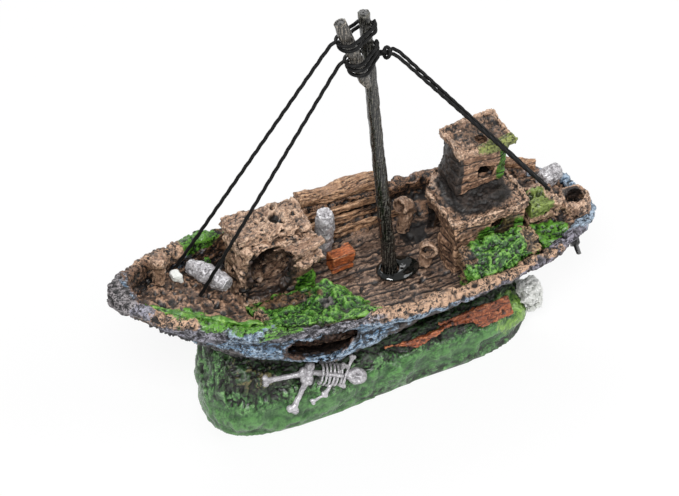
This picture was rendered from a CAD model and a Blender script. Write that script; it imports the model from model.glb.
"""Looks of an aquarium ornament: a wrecked fishing boat heeled over on a mossy rock.

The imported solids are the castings. Each is remeshed, carved and painted here; cords and bones are made anew.
"""
import bmesh
import bpy
import math
from mathutils import Matrix, Vector


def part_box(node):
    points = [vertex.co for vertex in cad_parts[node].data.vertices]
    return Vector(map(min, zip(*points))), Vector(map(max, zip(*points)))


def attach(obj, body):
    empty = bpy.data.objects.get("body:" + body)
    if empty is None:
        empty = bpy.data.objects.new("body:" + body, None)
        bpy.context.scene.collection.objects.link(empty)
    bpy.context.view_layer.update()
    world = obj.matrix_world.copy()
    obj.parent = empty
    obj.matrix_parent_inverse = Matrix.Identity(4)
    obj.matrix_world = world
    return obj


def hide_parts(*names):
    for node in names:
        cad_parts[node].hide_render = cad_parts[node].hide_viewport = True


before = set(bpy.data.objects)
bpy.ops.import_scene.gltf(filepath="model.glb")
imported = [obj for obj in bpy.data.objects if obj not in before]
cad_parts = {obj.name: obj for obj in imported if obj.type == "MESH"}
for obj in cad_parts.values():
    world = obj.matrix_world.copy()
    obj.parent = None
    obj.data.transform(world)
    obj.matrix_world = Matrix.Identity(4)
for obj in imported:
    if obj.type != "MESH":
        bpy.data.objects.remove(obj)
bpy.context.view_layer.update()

# Rock base
# A solid lump of cast resin with a flat underside, hollowed where the hull beds in it. It is brushed green
# over black: smooth and glossy low down, black and brown by the hull, with a little blue spilt from the hull.
MM = 0.001
HEEL = math.radians(7)
NOISE_MIDDLE = (0.5, 0.5, 0.5)


def at(x, y, z):
    """A spot or a size given in millimetres."""
    return Vector((x, y, z)) * MM


def colour(red, green, blue):
    """A paint colour from its 0 to 255 values."""
    def linear(share):
        return share / 12.92 if share <= 0.04045 else ((share + 0.055) / 1.055) ** 2.4
    return (linear(red / 255), linear(green / 255), linear(blue / 255), 1)


def add(tree, kind, *values, **fields):
    """Add a node, set its fields, fill or link its inputs in order, and return its outputs."""
    made = tree.nodes.new(kind)
    for field, value in fields.items():
        setattr(made, field, value)
    for socket, value in zip(made.inputs, values):
        if isinstance(value, bpy.types.NodeSocket):
            tree.links.new(value, socket)
        elif value is not None:
            socket.default_value = value
    return made.outputs


def calc(tree, operation, *values):
    return add(tree, "ShaderNodeMath", *values, operation=operation)[0]


def times(tree, *values):
    """The product of several values."""
    product = values[0]
    for value in values[1:]:
        product = calc(tree, "MULTIPLY", product, value)
    return product


def calc_vector(tree, operation, *values):
    made = add(tree, "ShaderNodeVectorMath", *values, operation=operation)
    return made[1] if operation in {"DOT_PRODUCT", "LENGTH"} else made[0]


def ease(tree, value, start, end, low=0.0, high=1.0):
    """A smooth step from low to high between two values."""
    return add(tree, "ShaderNodeMapRange", value, start, end, low, high, interpolation_type="SMOOTHSTEP")[0]


def noise(tree, place, scale, detail=2.0, rough=0.5):
    return add(tree, "ShaderNodeTexNoise", place, None, scale, detail, rough)


def mix(tree, share, under, over):
    return add(tree, "ShaderNodeMix", share, None, None, None, None, None, under, over, data_type="RGBA")[2]


def sockets(tree, in_out, listed):
    for name, kind in listed:
        tree.interface.new_socket(name, in_out=in_out, socket_type="NodeSocket" + kind)


def given_sockets(tree):
    return {socket.name: socket for socket in tree.nodes.new("NodeGroupInput").outputs}


def carving_tree():
    """Carves a casting: worn edges, bends, lumps, grain, pits, grooves, and a hull's rail and belly.

    It also stores what the paint needs: how proud or hollow each spot is, and where the pits are.
    """
    tree = bpy.data.node_groups.new("carving", "GeometryNodeTree")
    sockets(tree, "INPUT", (
        ("Casting", "Geometry"), ("Heel", "Float"), ("Sheer Rise", "Float"), ("Seed", "Float"),
        ("Worn Passes", "Int"), ("Bend Size", "Float"), ("Bend", "Float"), ("Lump Size", "Float"),
        ("Lump Depth", "Float"), ("Grain", "Vector"), ("Grain Depth", "Float"), ("Pit Size", "Float"),
        ("Pit Depth", "Float"), ("Pit Share", "Float"), ("Groove", "Vector"), ("Groove Depth", "Float"),
        ("Rough From", "Float"), ("Rough To", "Float"), ("Rail Height", "Float"), ("Rail Swell", "Float"),
        ("Rail Break", "Float"), ("Belly", "Float"), ("Paint", "Material")))
    sockets(tree, "OUTPUT", (("Casting", "Geometry"),))
    given = given_sockets(tree)
    place = add(tree, "GeometryNodeInputPosition")[0]
    normal = add(tree, "GeometryNodeInputNormal")[0]
    apart = add(tree, "ShaderNodeSeparateXYZ", place)
    base_kept_flat = (0.2 * MM, 1.6 * MM)
    off_base = ease(tree, apart[2], *base_kept_flat)

    def blurred(passes):
        blur = tree.nodes.new("GeometryNodeBlurAttribute")
        blur.data_type = "FLOAT_VECTOR"
        tree.links.new(place, blur.inputs["Value"])
        if isinstance(passes, int):
            blur.inputs["Iterations"].default_value = passes
        else:
            tree.links.new(passes, blur.inputs["Iterations"])
        return blur.outputs["Value"]

    def shift(casting, offset):
        return add(tree, "GeometryNodeSetPosition", casting, None, None,
                   calc_vector(tree, "SCALE", offset, None, None, off_base))[0]

    worn = calc_vector(tree, "SUBTRACT", blurred(given["Worn Passes"]), place)
    patchy = ease(tree, noise(tree, place, 230.0)[0], 0.36, 0.6, 0.35, 1.0)
    casting = shift(given["Casting"], calc_vector(tree, "SCALE", worn, None, None, patchy))
    bent = noise(tree, place, calc(tree, "DIVIDE", 1.0, given["Bend Size"]), 1.0)[1]
    bent = calc_vector(tree, "SUBTRACT", bent, NOISE_MIDDLE)
    casting = shift(casting, calc_vector(tree, "SCALE", bent, None, None, given["Bend"]))

    upright = add(tree, "ShaderNodeVectorRotate", place, None, None,
                  times(tree, given["Heel"], -1.0), rotation_type="X_AXIS")[0]
    sheer_start = 7.25 * MM
    sheer_run = 79.75 * MM
    sheer_power = 1.8
    ahead = calc(tree, "DIVIDE", calc(tree, "SUBTRACT", sheer_start, apart[0]), sheer_run)
    climb = calc(tree, "POWER", calc(tree, "MAXIMUM", ahead, 0.0), sheer_power)
    sheer = times(tree, climb, given["Sheer Rise"])
    along = calc_vector(tree, "SUBTRACT", upright, add(tree, "ShaderNodeCombineXYZ", 0.0, 0.0, sheer)[0])
    sideways = times(tree, given["Seed"], 0.37)
    drift = add(tree, "ShaderNodeCombineXYZ", given["Seed"], sideways, 0.0)[0]
    spot = calc_vector(tree, "ADD", along, drift)
    lump = noise(tree, spot, calc(tree, "DIVIDE", 1.0, given["Lump Size"]), 4.0, 0.55)[0]
    lump = times(tree, calc(tree, "SUBTRACT", lump, 0.52), given["Lump Depth"])

    stretched = calc_vector(tree, "MULTIPLY", spot, given["Grain"])
    vein = calc(tree, "ABSOLUTE", calc(tree, "SUBTRACT", noise(tree, stretched, 1.0, 3.0, 0.6)[0], 0.5))
    fibre = noise(tree, stretched, 2.4, 4.0, 0.6)[0]
    grain = calc(tree, "ADD", ease(tree, vein, 0.0, 0.06, 0.8, 0.0), fibre)

    wobble = noise(tree, spot, calc(tree, "DIVIDE", 1.4, given["Pit Size"]), 2.0)[1]
    wobble = calc_vector(tree, "SUBTRACT", wobble, NOISE_MIDDLE)
    wobble = calc_vector(tree, "SCALE", wobble, None, None, given["Pit Size"])
    pocked = calc_vector(tree, "ADD", spot, wobble)

    def pits(finer):
        cells = add(tree, "ShaderNodeTexVoronoi", pocked, None,
                    calc(tree, "DIVIDE", finer, given["Pit Size"]))
        luck = add(tree, "ShaderNodeSeparateXYZ", cells[1])[0]
        spare = calc(tree, "SUBTRACT", calc(tree, "ADD", luck, given["Pit Share"]), 1.0)
        radius = times(tree, calc(tree, "DIVIDE", spare, given["Pit Share"]), 0.6)
        return ease(tree, calc(tree, "SUBTRACT", radius, cells[0]), 0.0, 0.2)

    pit = calc(tree, "MAXIMUM", pits(1.0), times(tree, pits(2.1), 0.7))
    plank = calc(tree, "ADD", calc_vector(tree, "DOT_PRODUCT", along, given["Groove"]),
                 times(tree, noise(tree, spot, 90.0)[0], 0.9))
    edge = calc(tree, "ABSOLUTE", calc(tree, "SUBTRACT", calc(tree, "FRACT", plank), 0.5))
    groove = ease(tree, edge, 0.4, 0.48)
    rough = ease(tree, apart[2], given["Rough From"], given["Rough To"])
    cut = calc(tree, "ADD", times(tree, grain, given["Grain Depth"]), times(tree, pit, given["Pit Depth"]))
    cut = calc(tree, "ADD", times(tree, cut, rough), times(tree, groove, given["Groove Depth"]))
    below = calc(tree, "SUBTRACT", given["Rail Height"], add(tree, "ShaderNodeSeparateXYZ", along)[2])
    from_break = calc(tree, "ABSOLUTE", calc(tree, "SUBTRACT", apart[0], given["Rail Break"]))
    rail_foot = (2 * MM, 5 * MM)
    rail_gap = (8 * MM, 17 * MM)
    swell = times(tree, ease(tree, below, *rail_foot, 1.0, 0.0), given["Rail Swell"],
                  ease(tree, from_break, *rail_gap))
    relief = calc(tree, "SUBTRACT", calc(tree, "ADD", lump, swell), cut)
    casting = shift(casting, calc_vector(tree, "SCALE", normal, None, None, relief))

    belly_starts = (-66 * MM, -40 * MM)
    belly_ends = (-6 * MM, 6 * MM)
    belly_depth = (3 * MM, 12 * MM)
    full = times(tree, ease(tree, apart[0], *belly_starts), ease(tree, apart[0], *belly_ends, 1.0, 0.0),
                 ease(tree, below, *belly_depth))
    tuck_starts = (2 * MM, 16 * MM)
    tuck_depth = (5 * MM, 14 * MM)
    tuck_share = 1.3
    tuck = times(tree, ease(tree, apart[0], *tuck_starts, 0.0, tuck_share), ease(tree, below, *tuck_depth))
    bilge = (15 * MM, 27 * MM)
    side = times(tree, calc(tree, "SUBTRACT", full, tuck), ease(tree, below, *bilge, 1.0, 0.0),
                 calc(tree, "SIGN", apart[1]), given["Belly"])
    lip_top = (7 * MM, 10 * MM)
    lip_foot = (12 * MM, 18 * MM)
    lip_reach = (2 * MM, 11 * MM)
    lip_sag = -0.5
    lip = times(tree, ease(tree, below, *lip_top), ease(tree, below, *lip_foot, 1.0, 0.0),
                ease(tree, from_break, *lip_reach, lip_sag, 0.0), given["Belly"])
    casting = shift(casting, add(tree, "ShaderNodeCombineXYZ", 0.0, side, lip)[0])

    def proud(passes):
        lift = calc_vector(tree, "DOT_PRODUCT", calc_vector(tree, "SUBTRACT", place, blurred(passes)), normal)
        return times(tree, lift, 1 / MM)

    fine_blur = 4
    broad_blur = 36
    seam = times(tree, groove, ease(tree, given["Groove Depth"], 0.0, 0.1 * MM))
    for name, value in (("wear", proud(fine_blur)), ("hollow", proud(broad_blur)),
                        ("pit", calc(tree, "MAXIMUM", times(tree, pit, rough), seam))):
        casting = add(tree, "GeometryNodeStoreNamedAttribute", casting, None, name, value,
                      data_type="FLOAT", domain="POINT")[0]
    casting = add(tree, "GeometryNodeSetShadeSmooth", casting, None, True)[0]
    casting = add(tree, "GeometryNodeSetMaterial", casting, None, given["Paint"])[0]
    add(tree, "NodeGroupOutput", add(tree, "GeometryNodeRealizeInstances", casting)[0])
    return tree


carving = carving_tree()


def set_sizes(modifier, sizes):
    """Set a Geometry Nodes modifier's inputs by their sockets' identifiers."""
    for item in modifier.node_group.interface.items_tree:
        if item.in_out == "INPUT" and item.name in sizes:
            modifier[item.identifier] = sizes[item.name]


def make_plain(made):
    """Turn a piece and its modifiers into a plain mesh."""
    seen = bpy.context.evaluated_depsgraph_get()
    data = bpy.data.meshes.new_from_object(made.evaluated_get(seen), preserve_all_data_layers=True,
                                           depsgraph=seen)
    made.modifiers.clear()
    made.data = data


def finish_piece(made, node):
    """Fix a piece to the ornament's one body, in place of its CAD node."""
    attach(made, "root")
    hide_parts(node)
    return made


def solid_of(node):
    """A merged copy of a CAD solid."""
    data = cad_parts[node].data.copy()
    data.materials.clear()
    bm = bmesh.new()
    bm.from_mesh(data)
    bmesh.ops.remove_doubles(bm, verts=bm.verts, dist=0.001 * MM)
    bm.to_mesh(data)
    bm.free()
    return data


def cast(node, voxel, paint, slot, form=None, heel=HEEL, seed=0.0, worn=2, bend=3, lumps=(5, 0),
         grain=(100, 700, 700, 0), pits=(2, 0, 0.0), grooves=(0, 0, 0, 0), rough=(-2, -1), sheer=0,
         rail=(0, 0, 0), belly=0):
    """Remesh a CAD solid, or a form made in its place, then carve it and paint it.

    Lengths are in millimetres. Lumps are a size and a depth. Pits are a size, a depth and a share. Grain and
    grooves are how many to a metre each way, and a depth. A rail is its height, its swell and its break.
    """
    made = bpy.data.objects.new("cast_" + node, form or solid_of(node))
    bpy.context.collection.objects.link(made)
    remesh = made.modifiers.new("remesh", "REMESH")
    remesh.mode = "VOXEL"
    remesh.voxel_size = voxel * MM
    carve = made.modifiers.new("carve", "NODES")
    carve.node_group = carving
    lengths = {
        "Bend Size": 16, "Bend": bend, "Lump Size": lumps[0], "Lump Depth": lumps[1], "Grain Depth": grain[3],
        "Pit Size": pits[0], "Pit Depth": pits[1], "Groove Depth": grooves[3], "Rough From": rough[0],
        "Rough To": rough[1], "Sheer Rise": sheer, "Rail Height": rail[0], "Rail Swell": rail[1],
        "Rail Break": rail[2], "Belly": belly}
    set_sizes(carve, {name: length * MM for name, length in lengths.items()})
    set_sizes(carve, {
        "Heel": heel, "Seed": seed, "Worn Passes": worn, "Pit Share": pits[2], "Paint": paint,
        "Grain": tuple(float(count) for count in grain[:3]),
        "Groove": tuple(float(count) for count in grooves[:3])})
    make_plain(made)
    return finish_piece(made, node)


def proud_of(tree, spread, fleck):
    """How far a spot stands proud, in units of the dry brush's spread, roughened by fine flecks."""
    wear = add(tree, "ShaderNodeAttribute", attribute_name="wear")[2]
    hollow = add(tree, "ShaderNodeAttribute", attribute_name="hollow")[2]
    proud = calc(tree, "ADD", calc(tree, "DIVIDE", wear, spread), hollow)
    return calc(tree, "ADD", proud, times(tree, calc(tree, "SUBTRACT", fleck, 0.5), 2.0))


FINE_DOTS = 2300.0
COARSE_DOTS = 950.0
DOT_CROWDS = 300.0


def pepper_of(tree, place, amount):
    """Crowds of fine black dots."""
    dots = calc(tree, "MAXIMUM", ease(tree, noise(tree, place, FINE_DOTS, 2.0)[0], 0.52, 0.62),
                ease(tree, noise(tree, place, COARSE_DOTS, 3.0)[0], 0.52, 0.6))
    crowd = ease(tree, noise(tree, place, DOT_CROWDS, 3.0)[0], 0.32, 0.54)
    return times(tree, dots, crowd, amount)


def dry_brush_group():
    """Black wash in the hollows, two body colours, and a light colour dragged over what stands proud."""
    tree = bpy.data.node_groups.new("dry_brush", "ShaderNodeTree")
    sockets(tree, "INPUT", (("Dark", "Color"), ("Body", "Color"), ("Tint", "Color"), ("Light", "Color"),
                            ("Spread", "Float"), ("Pepper", "Float")))
    sockets(tree, "OUTPUT", (("Color", "Color"), ("Height", "Float")))
    given = given_sockets(tree)
    place = add(tree, "ShaderNodeTexCoord")[3]
    fleck = noise(tree, place, 1500.0, 5.0, 0.65)[0]
    proud = proud_of(tree, given["Spread"], fleck)
    tone = mix(tree, ease(tree, noise(tree, place, 150.0, 3.0)[0], 0.4, 0.6), given["Body"], given["Tint"])
    shade = mix(tree, ease(tree, proud, -1.0, 0.15), given["Dark"], tone)
    shade = mix(tree, ease(tree, proud, 0.15, 1.2, 0.0, 0.9), shade, given["Light"])
    pepper = pepper_of(tree, place, given["Pepper"])
    pit = add(tree, "ShaderNodeAttribute", attribute_name="pit")[2]
    shade = mix(tree, calc(tree, "MAXIMUM", times(tree, pit, 0.92), pepper), shade, given["Dark"])
    add(tree, "NodeGroupOutput", shade, calc(tree, "SUBTRACT", fleck, times(tree, pepper, 0.8)))
    return tree


dry_brush = dry_brush_group()


def paint_patch_group():
    """A ragged patch of another paint on part of a piece, darker in its hollows, with its own gloss."""
    tree = bpy.data.node_groups.new("paint_patch", "ShaderNodeTree")
    sockets(tree, "INPUT", (("Color", "Color"), ("Rough", "Float"), ("Dark", "Color"), ("Light", "Color"),
                            ("Centre", "Vector"), ("Size", "Vector"), ("Ragged", "Float"), ("Gloss", "Float"),
                            ("Pepper", "Float")))
    sockets(tree, "OUTPUT", (("Color", "Color"), ("Rough", "Float")))
    given = given_sockets(tree)
    place = add(tree, "ShaderNodeTexCoord")[3]
    reach = calc_vector(tree, "DIVIDE", calc_vector(tree, "SUBTRACT", place, given["Centre"]), given["Size"])
    edge = noise(tree, place, 330.0, 5.0, 0.62)[0]
    boxy = calc(tree, "SQRT", calc_vector(tree, "LENGTH", calc_vector(tree, "MULTIPLY", reach, reach)))
    away = calc(tree, "ADD", boxy, times(tree, calc(tree, "SUBTRACT", edge, 0.5), given["Ragged"]))
    cover = ease(tree, away, 0.84, 0.98, 1.0, 0.0)
    fleck = noise(tree, place, 1300.0, 5.0, 0.65)[0]
    slow = times(tree, calc(tree, "SUBTRACT", noise(tree, place, 240.0, 2.0)[0], 0.5), 3.0)
    proud = calc(tree, "ADD", proud_of(tree, 0.2, fleck), slow)
    tone = mix(tree, ease(tree, proud, -1.2, 1.4), given["Dark"], given["Light"])
    pit = add(tree, "ShaderNodeAttribute", attribute_name="pit")[2]
    dotted = calc(tree, "MAXIMUM", times(tree, pit, 0.9), pepper_of(tree, place, given["Pepper"]))
    tone = mix(tree, dotted, tone, given["Dark"])
    rough = calc(tree, "ADD", given["Rough"],
                 times(tree, calc(tree, "SUBTRACT", given["Gloss"], given["Rough"]), cover))
    add(tree, "NodeGroupOutput", mix(tree, cover, given["Color"], tone), rough)
    return tree


paint_patch = paint_patch_group()


def crackle_group():
    """Fine black lines that run with the planking, in crowds."""
    tree = bpy.data.node_groups.new("crackle", "ShaderNodeTree")
    sockets(tree, "INPUT", (("Color", "Color"), ("Amount", "Float")))
    sockets(tree, "OUTPUT", (("Color", "Color"),))
    given = given_sockets(tree)
    along_grain = (0.22, 1.0, 1.0)
    place = calc_vector(tree, "MULTIPLY", add(tree, "ShaderNodeTexCoord")[3], along_grain)
    line = calc(tree, "ABSOLUTE", calc(tree, "SUBTRACT", noise(tree, place, 820.0, 4.0, 0.6)[0], 0.5))
    crowd = ease(tree, noise(tree, place, 190.0, 3.0)[0], 0.34, 0.54)
    ink = times(tree, ease(tree, line, 0.012, 0.04, 1.0, 0.0), crowd, given["Amount"])
    add(tree, "NodeGroupOutput", mix(tree, ink, given["Color"], colour(16, 16, 20)))
    return tree


crackle = crackle_group()


def place_group(tree, group, **values):
    """Place a shader node group in a material and fill or link its inputs by name."""
    made = tree.nodes.new("ShaderNodeGroup")
    made.node_tree = group
    for name, value in values.items():
        if isinstance(value, bpy.types.NodeSocket):
            tree.links.new(value, made.inputs[name])
        else:
            made.inputs[name].default_value = value
    return made.outputs


MATT = 0.5
MATT_PEPPER = 1.0
GLOSSY_PEPPER = 0.4


def painted(name, paints, spread=0.2, pepper=0.4, lines=0.0, roughness=0.5, bump=0.4, metallic=0.0,
            patches=()):
    """A hand-painted casting: dry brush over a black wash, then patches of other paints, then fine lines."""
    made = bpy.data.materials.new(name)
    made.use_nodes = True
    tree = made.node_tree
    shader = tree.nodes["Principled BSDF"]
    shader.inputs["Roughness"].default_value = roughness
    shader.inputs["Metallic"].default_value = metallic
    shader.inputs["Coat Weight"].default_value = 0.15
    shader.inputs["Coat Roughness"].default_value = 0.25
    dark, body, tint, light = (colour(*paint) for paint in paints)
    brushed = place_group(tree, dry_brush, Dark=dark, Body=body, Tint=tint, Light=light, Spread=spread,
                          Pepper=pepper)
    shade, rough = brushed["Color"], roughness
    for patch_dark, patch_light, centre, size, ragged, gloss in patches:
        over = place_group(tree, paint_patch, Color=shade, Rough=rough, Dark=colour(*patch_dark),
                           Light=colour(*patch_light), Centre=at(*centre), Size=at(*size), Ragged=ragged,
                           Gloss=gloss, Pepper=MATT_PEPPER if gloss >= MATT else GLOSSY_PEPPER)
        shade, rough = over["Color"], over["Rough"]
    if patches:
        tree.links.new(rough, shader.inputs["Roughness"])
    if lines:
        shade = place_group(tree, crackle, Color=shade, Amount=lines)["Color"]
    tree.links.new(shade, shader.inputs["Base Color"])
    raised = tree.nodes.new("ShaderNodeBump")
    raised.inputs["Strength"].default_value = bump
    raised.inputs["Distance"].default_value = 0.3 * MM
    tree.links.new(brushed["Height"], raised.inputs["Height"])
    tree.links.new(raised.outputs["Normal"], shader.inputs["Normal"])
    return made


def patch(dark, light, centre, size, ragged, gloss=MATT):
    """A patch of paint: its colours low and proud, its centre and half sizes in millimetres, and its edge."""
    return (dark, light, centre, size, ragged, gloss)


def moss(centre, size, ragged=0.9):
    """A glossy patch of moss paint."""
    return patch((16, 40, 12), (94, 148, 50), centre, size, ragged, gloss=0.22)


BLACK_WASH = (18, 15, 14)


def grime(centre, size, light, ragged=1.1):
    """A patch where the black wash shows, with a little colour on what stands proud."""
    return patch(BLACK_WASH, light, centre, size, ragged)


LOW_GREEN = (40, 76, 38)
rock_paint = painted(
    "rock_paint", ((14, 24, 14), (60, 104, 52), (80, 130, 68), (118, 162, 102)),
    spread=0.26, pepper=0.7, lines=0.5, roughness=0.32, bump=0.25, patches=(
        grime((-22, -15, 21), (30, 11, 8.5), (54, 76, 42), 1.7),
        grime((18, -16, 18.5), (44, 9, 6), (52, 72, 40), 1.8),
        grime((-34, -13, 22), (9, 9, 7), (112, 104, 66), 2.2),
        grime((31, -9, 18.5), (36, 8.6, 7), (64, 54, 46), 0.9),
        patch((26, 28, 34), (98, 128, 156), (-24, -15, 25), (15, 9, 3), 1.3),
        grime((8, 1, 8), (58, 18.5, 40), (50, 82, 42), 1.8),
        patch(LOW_GREEN, (90, 138, 76), (-32, 0, 2.5), (30, 32, 8), 1.2, gloss=0.24),
        patch(LOW_GREEN, (88, 136, 74), (22, 0, 7), (40, 40, 4), 1.9, gloss=0.24),
        patch((44, 82, 36), (134, 172, 80), (49, -11, 9), (9, 8, 5), 1.2, gloss=0.3),
    ))
cast("rock_base", 0.45, rock_paint, "rock", heel=0.0, worn=4, bend=0.0, lumps=(8, 5),
     grain=(200, 360, 110, 1.1), pits=(5, 2.2, 0.45), rough=(6, 15))

# Hull
# A hollow casting with strakes that follow the sheer and a broken side, bedded in the rock. Blue and
# lilac-grey paint is streaked over black; the rail is bare tan timber, with moss along it at the bow.


def bare_timber(centre, size, ragged):
    """A patch where tan timber shows."""
    return patch((22, 17, 14), (192, 156, 128), centre, size, ragged)


LILAC_DARK = (34, 32, 38)
hull_paint = painted(
    "hull_paint", ((18, 19, 24), (84, 112, 138), (102, 138, 170), (164, 182, 200)),
    pepper=0.6, lines=1.0, patches=(
        patch(LILAC_DARK, (150, 148, 160), (-60, -8, 46), (16, 16, 10), 1.0),
        patch(LILAC_DARK, (142, 138, 150), (44, -20, 34), (34, 7, 5), 1.1),
        grime((8, -16, 17), (62, 17, 8), (88, 72, 62)),
        grime((-44, -9, 31), (17, 10, 6), (96, 92, 92)),
        grime((36, -17, 26.5), (36, 12, 8), (80, 68, 62), 1.0),
        patch((40, 38, 44), (148, 146, 154), (-8, -23, 38), (34, 5, 2.4), 1.2),
        grime((10, 15, 38), (60, 9, 14), (150, 114, 88), 0.7),
        grime((67, -6, 36), (5, 5, 5), (60, 50, 44), 0.4),
        grime((-46, 1.5, 49), (26, 13, 9), (128, 98, 78), 0.9),
        grime((-20, -20, 31), (12, 3.5, 4.2), (92, 66, 52), 0.5),
        bare_timber((26, -22, 38), (36, 6, 3.8), 0.9),
        bare_timber((-36, 16, 51), (34, 9, 5), 0.9),
        bare_timber((-54, -13, 50), (12, 6, 3.5), 1.5),
        grime((-71, -2, 53), (4, 8, 8), (146, 140, 142), 2.0),
        moss((-61, -5, 49.5), (6, 5, 2.6)),
        moss((-54, -10.5, 48.5), (7, 5, 2.6)),
        moss((-47, -15.5, 47.5), (7, 5, 2.6)),
        moss((-38, -19, 45), (9, 4.5, 2.4)),
        moss((-18, -21.5, 41), (22, 2.6, 1.8)),
        moss((-37, 15, 50), (8, 6, 6)),
    ))
cast("hull", 0.54, hull_paint, "hull_paint", worn=3, lumps=(5.5, 3.4), grain=(50, 560, 560, 0.5),
     pits=(2.2, 1.1, 0.75), sheer=16.5, rail=(38.5, 1.1, -19.5), belly=3.2)

# Decks
# Planked main deck, foredeck and poop, cast as worn boards that run fore and aft. Brown over black, with tan
# on the proud edges; moss spreads over the ends, and the corner by the aft cabin is black.
deck_paint = painted(
    "deck_paint", ((26, 20, 17), (102, 81, 68), (122, 99, 84), (180, 149, 126)),
    pepper=0.6, lines=0.7, patches=(
        grime((26, 11.5, 30), (4.5, 4, 6), (40, 34, 30), 1.4),
    ))
cast("main_deck", 0.45, deck_paint, "timber", lumps=(5, 1.6), grain=(90, 520, 520, 0.4),
     pits=(2.2, 0.7, 0.25), grooves=(0, 210, 0, 0.45))
end_deck_paint = painted(
    "end_deck_paint", (BLACK_WASH, (64, 50, 42), (96, 74, 60), (176, 140, 114)),
    spread=0.24, pepper=0.5, lines=0.3, patches=(
        moss((-37, 12, 44), (7, 6, 6), 0.8),
        moss((-53, -8, 46), (8, 3.6, 4), 1.1),
        moss((-42, -14, 44), (9, 4.6, 4), 1.1),
        moss((56, -13, 38), (7, 6, 5), 0.8),
    ))
for deck in ("foredeck", "poop_deck"):
    cast(deck, 0.42, end_deck_paint, "timber", lumps=(4, 3.5), grain=(160, 420, 420, 0.4),
         pits=(3, 1.4, 0.5))

# Moss
# Banks of moss cast on the near side of the deck and along the bow rail. Bright green gloss paint over
# rubble, with the clumps picked out over dark green, and bare tan and black spots.
moss_paint = painted(
    "moss_paint", ((10, 26, 9), (42, 88, 26), (66, 120, 36), (122, 172, 76)),
    spread=0.22, pepper=0.5, roughness=0.26, bump=0.7, patches=(
        bare_timber((-34, -12, 38), (3, 3.4, 4), 1.2),
        grime((-23, -6, 39), (11, 3.5, 3), (128, 98, 70), 1.3),
        patch((40, 40, 40), (128, 122, 118), (-13.5, -12, 39), (2.4, 2.4, 3), 0.5, gloss=0.3),
        bare_timber((3, -17, 37), (6, 5, 3), 1.1),
        grime((-18, -21, 29.5), (22, 9, 8), (92, 66, 52), 0.4),
        grime((28, -13, 36), (3, 5, 6), (150, 118, 90), 1.1),
        grime((49.5, -14, 37), (4, 4, 4), (176, 146, 112), 1.4),
    ))
bow_moss_paint = painted(
    "bow_moss_paint", ((24, 52, 16), (66, 118, 38), (88, 138, 50), (140, 180, 88)),
    spread=0.3, pepper=0.25, roughness=0.28, patches=(
        bare_timber((-40, -14, 43), (4, 2.6, 1.6), 1.3),
    ))
cast("bow_moss", 0.36, bow_moss_paint, "moss", worn=14, lumps=(5, 3.4), pits=(2, 0.4, 0.2))
for bank, passes, seed in (("cabin_moss_bank", 14, 0.3), ("aft_moss_bank", 60, 0.8)):
    cast(bank, 0.36, moss_paint, "moss", seed=seed, worn=passes, lumps=(4.4, 6),
         grain=(420, 420, 420, 0.35), pits=(2.4, 0.8, 0.35))

# Bow pieces
# A tan bollard, a white stone and a barrel stand on the foredeck, cast with it. The barrel is brushed silver
# over grey.
TAN = ((24, 18, 15), (142, 111, 90), (168, 135, 111), (212, 180, 154))
tan_paint = painted("tan_paint", TAN, pepper=0.7)
silver_paint = painted(
    "silver_paint", ((84, 80, 82), (170, 167, 170), (192, 189, 193), (240, 239, 241)),
    spread=0.16, pepper=0.3, lines=0.5, roughness=0.32, metallic=0.2)
white_paint = painted(
    "white_paint", ((120, 122, 114), (206, 207, 202), (222, 223, 219), (244, 244, 242)),
    spread=0.3, pepper=0.15)
BARREL = dict(lumps=(3, 1.6), grain=(330, 330, 330, 0.25))


def scaled(node, seat, factors):
    """A CAD solid scaled about a spot given as shares of its box."""
    low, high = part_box(node)
    spot = Vector([low[i] + (high[i] - low[i]) * seat[i] for i in range(3)])
    form = solid_of(node)
    form.transform(Matrix.Translation(spot) @ Matrix.Diagonal((*factors, 1)) @ Matrix.Translation(-spot))
    return form


cast("bow_bollard", 0.26, tan_paint, "timber", lumps=(3, 1.8), pits=(1.6, 0.4, 0.3))
stone_form = scaled("bow_stone", (0.5, 0.5, 0), (0.75, 0.75, 0.75))
cast("bow_stone", 0.24, white_paint, "silver", stone_form, worn=40, lumps=(2, 1.2))
cast("bow_barrel", 0.26, silver_paint, "silver", **BARREL)

# Fore cabin
# A broken, porous deckhouse: hollow walls with a window, a thick roof full of holes, a lintel, a jagged sill
# and a board leaning behind it. Its near side has caved in, and its aft end is broken short, so the pieces
# keep their bow ends and far sides. Tan over black, dark brown in the cave.
cabin_paint = painted("cabin_paint", TAN, pepper=0.7, patches=(
    grime((-25, 3, 43), (8, 9, 9.5), (62, 46, 38), 0.4),
    grime((-14, 2, 40), (5, 6, 4), (120, 92, 72), 1.0),
    moss((-11, -2, 36), (7, 5, 4.5), 1.0),
))
POROUS = dict(worn=9, bend=5, lumps=(5.5, 4.5), grain=(260, 420, 420, 0.25), pits=(3, 2, 0.45))
CAVE_CENTRE = at(-25, -4, 45)
CAVE_HALF = at(6.4, 9, 7.6)
UNBROKEN_CORNER = (0.0, 1.0, 0.0)


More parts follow.
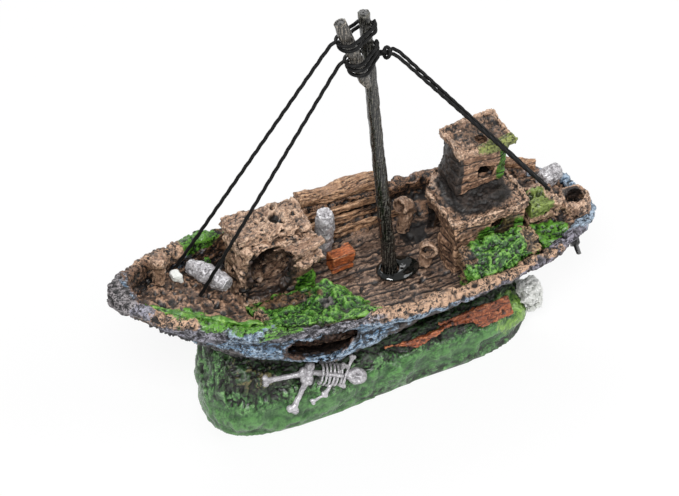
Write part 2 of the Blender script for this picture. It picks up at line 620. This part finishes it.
def caved(form):
    """A form with the cave in the fore cabin's near side cut into it."""
    bm = bmesh.new()
    bmesh.ops.create_icosphere(bm, subdivisions=4, radius=1)
    placed = Matrix.Translation(CAVE_CENTRE) @ Matrix.Diagonal((*CAVE_HALF, 1))
    bmesh.ops.transform(bm, matrix=placed, verts=bm.verts)
    egg = bpy.data.meshes.new("cave")
    bm.to_mesh(egg)
    bm.free()
    cutter = bpy.data.objects.new("cave", egg)
    made = bpy.data.objects.new("caved", form)
    for thing in (cutter, made):
        bpy.context.collection.objects.link(thing)
    cut = made.modifiers.new("cut", "BOOLEAN")
    cut.operation = "DIFFERENCE"
    cut.object = cutter
    make_plain(made)
    data = made.data
    for thing in (cutter, made):
        bpy.data.objects.remove(thing)
    return data


cabin_form = caved(scaled("fore_cabin", UNBROKEN_CORNER, (0.88, 1, 1)))
cast("fore_cabin", 0.34, cabin_paint, "timber", cabin_form, **POROUS)
roof_form = scaled("fore_cabin_roof", UNBROKEN_CORNER, (0.82, 0.8, 1))
cast("fore_cabin_roof", 0.34, tan_paint, "timber", roof_form,
     **POROUS | dict(seed=0.4, worn=30, pits=(5, 3, 0.4)))
lintel_form = caved(scaled("fore_cabin_lintel", UNBROKEN_CORNER, (0.8, 1, 1)))
cast("fore_cabin_lintel", 0.28, tan_paint, "timber", lintel_form, worn=6, bend=5, lumps=(5, 2),
     grain=(120, 700, 700, 0.2))
sill_form = caved(scaled("fore_cabin_sill", UNBROKEN_CORNER, (0.82, 1, 1)))
cast("fore_cabin_sill", 0.28, tan_paint, "timber", sill_form, **POROUS | dict(seed=0.9, lumps=(3, 4.5)))
cast("leaning_board", 0.3, tan_paint, "timber", worn=5, lumps=(4, 2), grain=(420, 420, 90, 0.35))

# Far bulwark
# A log along the far rail and three planks stacked inside it, cast as worn timber with deep grain that runs
# fore and aft. Tan over dark brown.
bulwark_paint = painted(
    "bulwark_paint", ((32, 22, 18), (146, 108, 80), (168, 128, 97), (214, 174, 138)), lines=0.5)
for timber, seed in (("far_bulwark_log", 0.1), ("far_bulwark_plank_1", 0.2), ("far_bulwark_plank_2", 0.5),
                     ("far_bulwark_plank_3", 0.7)):
    cast(timber, 0.34, bulwark_paint, "timber", seed=seed, worn=4, lumps=(6, 2.4),
         grain=(60, 520, 520, 0.5))

# Deck cargo
# A silver barrel on its end, a rusty crate with sunk seams and two cowl ventilators with dark mouths, cast
# with the deck. The ventilators are turned on their stems.
cast("mid_barrel", 0.28, silver_paint, "silver", **BARREL)
crate_paint = painted(
    "crate_paint", ((70, 30, 14), (170, 88, 44), (188, 102, 52), (214, 142, 92)), lines=0.4)
crate_form = scaled("rust_crate", (0.4, 0.6, 0), (0.84, 0.9, 0.84))
cast("rust_crate", 0.24, crate_paint, "rust", crate_form, worn=10, lumps=(4, 1.6),
     grain=(90, 700, 700, 0.25), grooves=(0, 240, 240, 0.5))
vent_paint = painted("vent_paint", TAN, spread=0.24, pepper=0.5)
for vent, turn in (("cowl_vent_near", 60), ("cowl_vent_far", 20)):
    low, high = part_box(vent)
    stem = Matrix.Translation((low + high) / 2)
    vent_form = solid_of(vent)
    vent_form.transform(stem @ Matrix.Rotation(math.radians(turn), 4, "Z") @ stem.inverted())
    cast(vent, 0.26, vent_paint, "timber", vent_form, worn=3, lumps=(3.5, 2.2), grain=(300, 300, 200, 0.15),
         pits=(2, 0.5, 0.25))

# Aft cabins
# The aft house has slatted walls, a door and a porthole, and carries the smaller upper cabin. Both roofs are
# rimmed trays with tan porous rims, the lower one black inside; moss grows on the near walls and the roof.
aft_paint = painted(
    "aft_paint", (BLACK_WASH, (104, 78, 62), (128, 98, 78), (204, 164, 132)), pepper=0.5, patches=(
        moss((45, -10, 35), (11, 4.5, 8)),
        grime((43.5, -10, 41), (3.4, 3, 3.4), (110, 96, 60), 0.5),
        grime((27, 9, 35), (5, 6, 7), (40, 34, 30), 0.6),
    ))
cast("aft_cabin", 0.34, aft_paint, "timber", worn=5, bend=4, lumps=(5, 2.6), grain=(200, 200, 520, 0.3),
     grooves=(0, 0, 330, 0.4))
aft_roof_paint = painted("aft_roof_paint", TAN, pepper=0.9, patches=(
    grime((38.7, 0.8, 48.2), (10.4, 9.8, 6), (66, 58, 54), 0.25),
))
ROOF = dict(worn=4, bend=4, lumps=(4, 2.6), grain=(420, 420, 420, 0.25), pits=(1.8, 0.6, 0.3))
cast("aft_cabin_roof", 0.34, aft_roof_paint, "timber", **ROOF)
upper_paint = painted(
    "upper_paint", ((28, 21, 18), (136, 102, 80), (158, 122, 97), (206, 168, 138)),
    pepper=0.5, lines=0.3, patches=(
        grime((32, 4, 56), (2.6, 9, 9), (72, 62, 56), 0.5),
        moss((48.5, -1, 57), (3.8, 5.4, 9), 1.2),
    ))
cast("upper_cabin", 0.32, upper_paint, "timber", worn=5, bend=4, lumps=(5, 2.2), grain=(160, 300, 560, 0.3),
     grooves=(0, 0, 260, 0.35))
upper_roof_paint = painted("upper_roof_paint", TAN, pepper=0.6, patches=(
    grime((40.5, 3, 65.6), (7, 5, 1.2), (140, 110, 88), 1.2),
    patch((58, 62, 30), (146, 154, 84), (45.5, -3.5, 64.5), (7.5, 3.4, 2.6), 1.5, gloss=0.3),
))
cast("upper_cabin_roof", 0.32, upper_roof_paint, "timber", **ROOF)

# Stern pieces
# A stepped lump aft of the cabins with dry moss on it, an open pipe with a dark bore, a silver barrel and a
# short timber along the far rail, all cast with the poop.
step_paint = painted("step_paint", TAN, pepper=0.6, patches=(
    patch((46, 56, 26), (132, 150, 76), (54, -7, 43), (6, 5, 4), 1.5, gloss=0.3),
))
cast("aft_step", 0.3, step_paint, "timber", **POROUS | dict(seed=0.6, lumps=(5.5, 3)))
pipe_paint = painted("pipe_paint", TAN, pepper=0.8, patches=(
    grime((67, -6.2, 39), (3.5, 3.5, 4), (58, 46, 40), 0.4),
))
cast("stern_pipe", 0.28, pipe_paint, "timber",
     **POROUS | dict(seed=0.2, worn=3, lumps=(3.5, 2.6), pits=(3, 0.7, 0.45)))
cast("stern_barrel", 0.26, silver_paint, "silver", **BARREL)
cast("stern_timber", 0.3, bulwark_paint, "timber", seed=0.3, worn=5, lumps=(4, 2),
     grain=(90, 620, 620, 0.4))

# Propeller
# A straight black rod under the counter with a four-bladed propeller on its end, moulded in black plastic
# and set in a bore in the hull. Both are swung about the rod's inner end, a little towards the near side.
plastic_paint = painted(
    "plastic_paint", ((6, 6, 6), (20, 19, 19), (27, 26, 25), (74, 72, 69)), pepper=0.1, roughness=0.3,
    bump=0.25)
SHAFT_INNER_END = at(50, -1, 19)
SWUNG_OUT = math.radians(-9)
SWUNG_DOWN = math.radians(4)
swing = (Matrix.Translation(SHAFT_INNER_END) @ Matrix.Rotation(SWUNG_OUT, 4, "Z")
         @ Matrix.Rotation(SWUNG_DOWN, 4, "Y") @ Matrix.Translation(-SHAFT_INNER_END))
for moulding, voxel in (("propeller_shaft", 0.16), ("propeller", 0.18)):
    moulding_form = solid_of(moulding)
    moulding_form.transform(swing)
    cast(moulding, voxel, plastic_paint, "black_plastic", moulding_form, bend=0.0, lumps=(2, 0.3))

# Things on the rock
# Two rusty planks lean in the angle between rock and hull, with a knobbly white coral at the stern end, all
# cast with the rock. The long plank is swollen and slid outwards, clear of the hull's overhang.
rust_paint = painted(
    "rust_paint", ((58, 26, 14), (140, 72, 40), (164, 88, 50), (196, 124, 80)), pepper=0.5, lines=0.4)
for plank, seed, slid, swollen in (("rust_plank_long", 0.2, (-1.5, -4.6, -0.6), (1.3, 1.3, 1.5)),
                                   ("rust_plank_short", 0.7, (0, -0.6, -0.3), (1, 1, 1))):
    plank_form = scaled(plank, (1, 0.5, 0.5), swollen)
    plank_form.transform(Matrix.Translation(at(*slid)))
    cast(plank, 0.28, rust_paint, "rust", plank_form, heel=0.0, seed=seed, worn=6, lumps=(4, 2.4),
         grain=(120, 520, 520, 0.35), pits=(1.8, 0.5, 0.3))
coral_paint = painted(
    "coral_paint", ((120, 122, 116), (206, 207, 203), (220, 221, 217), (248, 248, 246)), spread=0.6,
    pepper=0.1)
cast("white_coral", 0.28, coral_paint, "silver", heel=0.0, lumps=(3, 4.5), grain=(500, 500, 500, 0.3),
     pits=(1.8, 0.6, 0.35))

# Skeleton
# A small cast skeleton lying on the near face of the rock, brushed silver: skull, ribs with pelvis and arms,
# and two leg bones with knobbed ends.
BONE_VOXEL = 0.16
BONE = dict(heel=0.0, bend=0.0, lumps=(1.4, 0.5))
ROD_SIDES = 10


def rods(limbs):
    """Tapered rods through points, each a closed tube; remeshing fuses them."""
    bm = bmesh.new()
    for points, radii in limbs:
        rings = []
        for i, (point, radius) in enumerate(zip(points, radii)):
            ahead = points[min(i + 1, len(points) - 1)] - points[max(i - 1, 0)]
            turned = ahead.to_track_quat("Z", "Y")
            ring = []
            for k in range(ROD_SIDES):
                angle = math.tau * k / ROD_SIDES
                side = turned @ Vector((math.cos(angle), math.sin(angle), 0))
                ring.append(bm.verts.new(point + side * radius))
            rings.append(ring)
        for low, high in zip(rings, rings[1:]):
            for k in range(ROD_SIDES):
                after = (k + 1) % ROD_SIDES
                bm.faces.new((low[k], low[after], high[after], high[k]))
        bm.faces.new(rings[0][::-1])
        bm.faces.new(rings[-1])
    data = bpy.data.meshes.new("rods")
    bm.to_mesh(data)
    bm.free()
    return data


def knob(centre, radius):
    """A rounded lump."""
    shares = (-0.95, -0.6, 0.0, 0.6, 0.95)
    return ([centre + Vector((share * radius, 0, 0)) for share in shares],
            [radius * math.sqrt(1 - share * share) for share in shares])


def long_bone(start, end, radius):
    """A shaft that swells to two knobs at each end."""
    across = (end - start).cross(Vector((0, -0.85, 0.5))).normalized() * radius * 0.75
    shares = (0, 0.12, 0.3, 0.5, 0.7, 0.88, 1)
    swell = (1.2, 1.0, 0.75, 0.7, 0.75, 1.0, 1.2)
    limbs = [([start.lerp(end, share) for share in shares], [radius * share for share in swell])]
    for tip in (start, end):
        limbs += [knob(tip + across, radius * 1.15), knob(tip - across, radius * 1.15)]
    return limbs


OUTWARD = Vector((0, -0.85, 0.53)).normalized()
SPINE_LOW = at(-20.6, -14.6, 16.6)
SPINE_HIGH = at(-11.2, -16.6, 13.4)
SPINE_POINTS = 10
spine = (SPINE_HIGH - SPINE_LOW).normalized()
aside = spine.cross(OUTWARD).normalized()
spine_line = [SPINE_LOW.lerp(SPINE_HIGH, i / (SPINE_POINTS - 1)) for i in range(SPINE_POINTS)]
chest = [(spine_line, [0.75 * MM + 0.15 * MM * (i % 2) for i in range(SPINE_POINTS)])]
RIBS = 6
RIB_POINTS = 13
RIB_RADIUS = 0.38 * MM
rib_turns = [math.radians(-25 + 230 * k / (RIB_POINTS - 1)) for k in range(RIB_POINTS)]
for i in range(RIBS):
    share = i / (RIBS - 1)
    middle = SPINE_LOW.lerp(SPINE_HIGH, 0.36 + 0.54 * share)
    half_width = (2.3 + 0.9 * math.sin(math.pi * (0.25 + 0.55 * share))) * MM
    depth = (2.2 + 0.5 * share) * MM
    rib = [middle + aside * half_width * math.cos(t) + OUTWARD * depth * math.sin(t) for t in rib_turns]
    chest.append((rib, [RIB_RADIUS] * RIB_POINTS))
BREAST_POINTS = 5
breast = []
for k in range(BREAST_POINTS):
    up_spine = SPINE_LOW.lerp(SPINE_HIGH, 0.5 + 0.42 * k / (BREAST_POINTS - 1))
    breast.append(up_spine + OUTWARD * (2.5 + 0.25 * k) * MM)
chest.append((breast, [0.5 * MM] * BREAST_POINTS))
hips = SPINE_LOW + OUTWARD * 0.9 * MM
HIP_REACH = 1.7 * MM
chest += [knob(hips + aside * HIP_REACH, 1.5 * MM), knob(hips - aside * HIP_REACH, 1.5 * MM),
          knob(hips, 1.2 * MM)]
shoulder = SPINE_HIGH + OUTWARD * 1.0 * MM
SHOULDER_REACH = 2.8 * MM
ELBOW = at(-17.8, -19.2, 11.0)
NEAR_HAND = at(-21.4, -19.0, 9.6)
FAR_HAND = at(-7.2, -15.2, 17.4)
chest += long_bone(shoulder - aside * SHOULDER_REACH, ELBOW, 0.6 * MM)
chest += long_bone(ELBOW, NEAR_HAND, 0.55 * MM)
chest += long_bone(shoulder + aside * SHOULDER_REACH, FAR_HAND, 0.6 * MM)
cast("rib_cage", BONE_VOXEL, silver_paint, "silver", rods(chest), **BONE)
LEG_RADIUS = 1.0 * MM
for leg, start, end in (("thigh_bone", at(-33.2, -13.6, 17.6), at(-22.4, -15.4, 17.4)),
                        ("shin_bone", at(-27.2, -18.4, 8.6), at(-22.0, -16.6, 15.6))):
    cast(leg, BONE_VOXEL, silver_paint, "silver", rods(long_bone(start, end, LEG_RADIUS)), **BONE)

SKULL_MIDDLE = at(-7.4, -17.6, 12.4)
SKULL_HALF = at(3.3, 2.4, 2.5)
SOCKETS = ((-0.12, 0.42, 0.9, 0.42, 0.45), (-0.12, -0.42, 0.9, 0.42, 0.45), (-0.52, 0, 0.86, 0.24, 0.35))
bm = bmesh.new()
bmesh.ops.create_icosphere(bm, subdivisions=5, radius=1)
for vert in bm.verts:
    along, across, out = vert.co
    narrow = 1 - 0.42 * max(0.0, -along - 0.15)
    dent = 1.0
    for u, v, w, width, deep in SOCKETS:
        away = (Vector((along, across, out)) - Vector((u, v, w)).normalized()).length / width
        dent -= deep * max(0.0, 1 - away * away)
    teeth = 0.06 * math.cos(across * 26) if along < -0.72 and out > 0.1 else 0.0
    dent += teeth
    vert.co = (SKULL_MIDDLE + spine * along * SKULL_HALF[0] * dent
               + aside * across * SKULL_HALF[1] * narrow * dent
               + OUTWARD * out * SKULL_HALF[2] * narrow * dent)
skull_form = bpy.data.meshes.new("skull_form")
bm.to_mesh(skull_form)
bm.free()
cast("skull", BONE_VOXEL, silver_paint, "silver", skull_form, **BONE)

# Mast
# A raked mast and a broken spar lashed beside its head, moulded in black plastic with a faint grain and worn
# grey on the proud edges. The mast stands in a puddle of hard black glue.
mast_paint = painted(
    "mast_paint", ((3, 3, 3), (10, 10, 10), (18, 18, 17), (92, 90, 82)), spread=0.06, pepper=0.1,
    roughness=0.24, bump=0.2)
spar_paint = painted(
    "spar_paint", ((8, 8, 7), (40, 39, 37), (62, 59, 55), (150, 142, 130)), spread=0.1, pepper=0.15,
    roughness=0.26, bump=0.2)
for pole, pole_paint in (("mast", mast_paint), ("broken_spar", spar_paint)):
    cast(pole, 0.22, pole_paint, "black_plastic", bend=0.0, lumps=(5, 0.9), grain=(500, 500, 30, 0.16))


def speckled(name, specks, detail, dark, light, **finish):
    """A plain material whose colour varies a little from spot to spot."""
    made = bpy.data.materials.new(name)
    made.use_nodes = True
    tree = made.node_tree
    shader = tree.nodes["Principled BSDF"]
    for field, value in finish.items():
        shader.inputs[field].default_value = value
    spot = add(tree, "ShaderNodeTexCoord")[3]
    shade = mix(tree, noise(tree, spot, specks, detail)[0], colour(*dark), colour(*light))
    tree.links.new(shade, shader.inputs["Base Color"])
    return made


glue_shine = speckled("glue_shine", 260.0, 2.0, (6, 8, 7), (20, 24, 22), **{
    "Roughness": 0.06, "Coat Weight": 0.5})
cast("mast_glue", 0.26, glue_shine, "glue", bend=0.0, lumps=(5, 0.8))

# Rigging
# Twisted black cord of three strands: two lashings round mast and spar, a knot, and four taut stays, two to
# the bow and two from the knot to the stern. The stays' feet are set in the castings.
CORD_DIAMETER = 1.1 * MM
TWIST = 520.0
STRANDS = 3.0
STRAND_RELIEF = 0.12


def cord_tree():
    """Sweeps a section of strands along a line, turning as it goes."""
    tree = bpy.data.node_groups.new("twisted_cord", "GeometryNodeTree")
    sockets(tree, "INPUT", (("Line", "Geometry"), ("Radius", "Float"), ("Twist", "Float"),
                            ("Cord", "Material")))
    sockets(tree, "OUTPUT", (("Cord", "Geometry"),))
    given = given_sockets(tree)
    line = add(tree, "GeometryNodeMeshToCurve", given["Line"])[0]
    resample = tree.nodes.new("GeometryNodeResampleCurve")
    resample.mode = "LENGTH"
    tree.links.new(line, resample.inputs["Curve"])
    resample.inputs["Length"].default_value = 0.4 * MM
    run = add(tree, "GeometryNodeSplineParameter")["Length"]
    turned = tree.nodes.new("GeometryNodeSetCurveTilt")
    tree.links.new(resample.outputs["Curve"], turned.inputs["Curve"])
    tree.links.new(times(tree, run, given["Twist"]), turned.inputs["Tilt"])
    ring = tree.nodes.new("GeometryNodeCurvePrimitiveCircle")
    ring.inputs["Resolution"].default_value = 15
    tree.links.new(given["Radius"], ring.inputs["Radius"])
    place = add(tree, "GeometryNodeInputPosition")[0]
    apart = add(tree, "ShaderNodeSeparateXYZ", place)
    angle = calc(tree, "ARCTAN2", apart[1], apart[0])
    lobes = calc(tree, "COSINE", times(tree, angle, STRANDS))
    swell = calc(tree, "ADD", 1 - STRAND_RELIEF, times(tree, lobes, STRAND_RELIEF))
    section = add(tree, "GeometryNodeSetPosition", ring.outputs["Curve"], None,
                  calc_vector(tree, "SCALE", place, None, None, swell))[0]
    swept = tree.nodes.new("GeometryNodeCurveToMesh")
    tree.links.new(turned.outputs["Curve"], swept.inputs["Curve"])
    tree.links.new(section, swept.inputs["Profile Curve"])
    swept.inputs["Fill Caps"].default_value = True
    smooth = add(tree, "GeometryNodeSetShadeSmooth", swept.outputs["Mesh"], None, True)[0]
    dressed = add(tree, "GeometryNodeSetMaterial", smooth, None, given["Cord"])[0]
    add(tree, "NodeGroupOutput", add(tree, "GeometryNodeRealizeInstances", dressed)[0])
    return tree


twisted_cord = cord_tree()
cord_fibre = speckled("cord_fibre", 2600.0, 4.0, (2, 2, 2), (10, 10, 11), **{
    "Roughness": 0.6, "Specular IOR Level": 0.25})


def lay_cord(node, points):
    """A cord along a line of points, in place of its CAD node."""
    data = bpy.data.meshes.new("cord_" + node)
    data.from_pydata([tuple(point) for point in points], [(i, i + 1) for i in range(len(points) - 1)], [])
    made = bpy.data.objects.new("cord_" + node, data)
    bpy.context.collection.objects.link(made)
    twist = made.modifiers.new("twist", "NODES")
    twist.node_group = twisted_cord
    set_sizes(twist, {"Radius": CORD_DIAMETER / 2, "Twist": TWIST, "Cord": cord_fibre})
    make_plain(made)
    return finish_piece(made, node)


KNOT = at(6.05, -8.05, 111.3)
STAYS = {
    "fore_stay_far": (at(-10.6, -12.3, 123.0), at(-12.28, -12.26, 122.34), at(-49.7, 6.16, 49.59)),
    "fore_stay_near": (at(-8.2, -11.9, 115.8), at(-9.66, -12.07, 115.2), at(-46.0, -0.87, 43.26)),
    "back_stay_far": (KNOT, at(8.43, -7.7, 112.21), at(59.3, -4.07, 45.81)),
    "back_stay_near": (KNOT, at(8.43, -8.36, 110.36), at(59.3, -5.82, 45.6)),
}
STAY_POINTS = 24
for stay, (tie, top, foot) in STAYS.items():
    stay_line = [top.lerp(foot, i / (STAY_POINTS - 1)) for i in range(STAY_POINTS)]
    bent_end = stay_line[1].lerp(top, 0.7)
    stay_line[0] = tie.lerp(top, 0.75).lerp(bent_end, 0.3)
    stay_line = [tie] + stay_line
    lay_cord(stay, stay_line)

MAST_FOOT = at(13, 0, 26.35)
MAST_HEAD = at(-1.4, 2, 127.85)
MAST_RADIUS = 2.2 * MM
MAST_TAPER = 0.5 * MM
SPAR_LOW = at(-1.185, -2.829, 106.072)
SPAR_HIGH = at(-9.784, -0.567, 129.438)
SPAR_RADIUS = 2.0 * MM
TURN_POINTS = 24
TURN_RISE = 1.75 * MM
LASHING_STANDS_OFF = 0.95 * MM
HEEL_PIVOT = at(0, 0, 20)
HEEL_SHIFT = at(0, 1.48, 0)
heeled = (Matrix.Translation(HEEL_PIVOT + HEEL_SHIFT) @ Matrix.Rotation(HEEL, 4, "X")
          @ Matrix.Translation(-HEEL_PIVOT))
for lashing, start, turns in (("upper_lashing", 120.624 * MM, 2), ("lower_lashing", 111.764 * MM, 3)):
    lash_line = []
    for i in range(turns * TURN_POINTS + 1):
        turn = math.tau * i / TURN_POINTS
        height = start + TURN_RISE * i / TURN_POINTS
        outward = Vector((math.cos(turn), math.sin(turn), 0))
        up_mast = (height - MAST_FOOT.z) / (MAST_HEAD.z - MAST_FOOT.z)
        up_spar = (height - SPAR_LOW.z) / (SPAR_HIGH.z - SPAR_LOW.z)
        poles = ((MAST_FOOT.lerp(MAST_HEAD, up_mast), MAST_RADIUS - MAST_TAPER * up_mast),
                 (SPAR_LOW.lerp(SPAR_HIGH, up_spar), SPAR_RADIUS))
        centre, radius = max(poles, key=lambda pole: pole[0].dot(outward) + pole[1])
        spot = Vector((centre.x, centre.y, height)) + outward * (radius + LASHING_STANDS_OFF)
        lash_line.append(heeled @ spot)
    if lashing == "lower_lashing":
        lash_line = [KNOT] + lash_line
    lay_cord(lashing, lash_line)
KNOT_SIZE = 0.55 * MM
KNOT_POINTS = 60
knot_line = []
for i in range(KNOT_POINTS + 1):
    turn = math.tau * i / KNOT_POINTS
    trefoil = Vector((math.sin(turn) + 2 * math.sin(2 * turn), math.cos(turn) - 2 * math.cos(2 * turn),
                      -1.4 * math.sin(3 * turn)))
    knot_line.append(KNOT + trefoil * KNOT_SIZE)
lay_cord("stay_knot", knot_line)

# Studio
# A white floor under a white sky and three soft lamps. The floor shows as white to the camera, but keeps a
# faint shadow.
bpy.ops.mesh.primitive_plane_add(size=4, location=(0, 0, 0))
floor = bpy.context.object
floor.name = "studio_floor"
floor_white = bpy.data.materials.new("floor_white")
floor_white.use_nodes = True
floor_tree = floor_white.node_tree
floor_shader = floor_tree.nodes["Principled BSDF"]
floor_shader.inputs["Base Color"].default_value = (0.8, 0.8, 0.8, 1)
floor_shader.inputs["Roughness"].default_value = 0.9
FLOOR_GLOW = 0.85
rays = add(floor_tree, "ShaderNodeLightPath")
seen_ray = calc(floor_tree, "MAXIMUM", rays["Is Camera Ray"],
                calc(floor_tree, "MAXIMUM", rays["Is Glossy Ray"], rays["Is Transmission Ray"]))
glow = add(floor_tree, "ShaderNodeEmission", (1, 1, 1, 1), 1.0)[0]
floor_mix = add(floor_tree, "ShaderNodeMixShader", calc(floor_tree, "MULTIPLY", seen_ray, FLOOR_GLOW),
                floor_shader.outputs[0], glow)[0]
floor_tree.links.new(floor_mix, floor_tree.nodes["Material Output"].inputs["Surface"])
floor.data.materials.append(floor_white)

SKY_LIGHT = 0.4
SKY_SEEN = 1.0
world = bpy.data.worlds.new("studio_light")
bpy.context.scene.world = world
world.use_nodes = True
sky = world.node_tree.nodes["Background"]
sky_rays = add(world.node_tree, "ShaderNodeLightPath")
sky.inputs["Color"].default_value = (1, 1, 1, 1)
sky_strength = ease(world.node_tree, sky_rays["Is Camera Ray"], 0.0, 1.0, SKY_LIGHT, SKY_SEEN)
world.node_tree.links.new(sky_strength, sky.inputs["Strength"])
TARGET = at(-2.7, 1.48, 42.2)
LAMPS = (("key", (-0.35, -0.55, 0.75), 0.35, 8.0), ("fill", (0.6, -0.35, 0.5), 0.5, 2.6),
         ("rim", (0.1, 0.6, 0.6), 0.5, 2.4))
for name, place, size, power in LAMPS:
    lamp = bpy.data.lights.new(name, "AREA")
    lamp.energy = power
    lamp.size = size
    light = bpy.data.objects.new(name, lamp)
    light.location = place
    light.rotation_euler = (TARGET - Vector(place)).to_track_quat("-Z", "Y").to_euler()
    bpy.context.collection.objects.link(light)

# Camera
# The photograph's view, from above and to the left of the near side, with a long lens. The lens gives the
# photograph's scale at the target.
AZIMUTH = math.radians(-27)
ELEVATION = math.radians(39)
DISTANCE = 0.9
PIXELS_PER_MM = 3.645
PICTURE_WIDTH = 679
SENSOR_WIDTH = 36
back = Vector((math.sin(AZIMUTH) * math.cos(ELEVATION), -math.cos(AZIMUTH) * math.cos(ELEVATION),
               math.sin(ELEVATION)))
camera = bpy.data.objects.new("camera", bpy.data.cameras.new("camera"))
bpy.context.collection.objects.link(camera)
camera.location = TARGET + back * DISTANCE
camera.rotation_euler = (-back).to_track_quat("-Z", "Y").to_euler()
camera.data.sensor_width = SENSOR_WIDTH
camera.data.lens = PIXELS_PER_MM * DISTANCE / MM / PICTURE_WIDTH * SENSOR_WIDTH
camera.data.clip_start = 0.01
camera.data.clip_end = 20
bpy.context.scene.camera = camera
bpy.context.scene.view_settings.view_transform = "Standard"
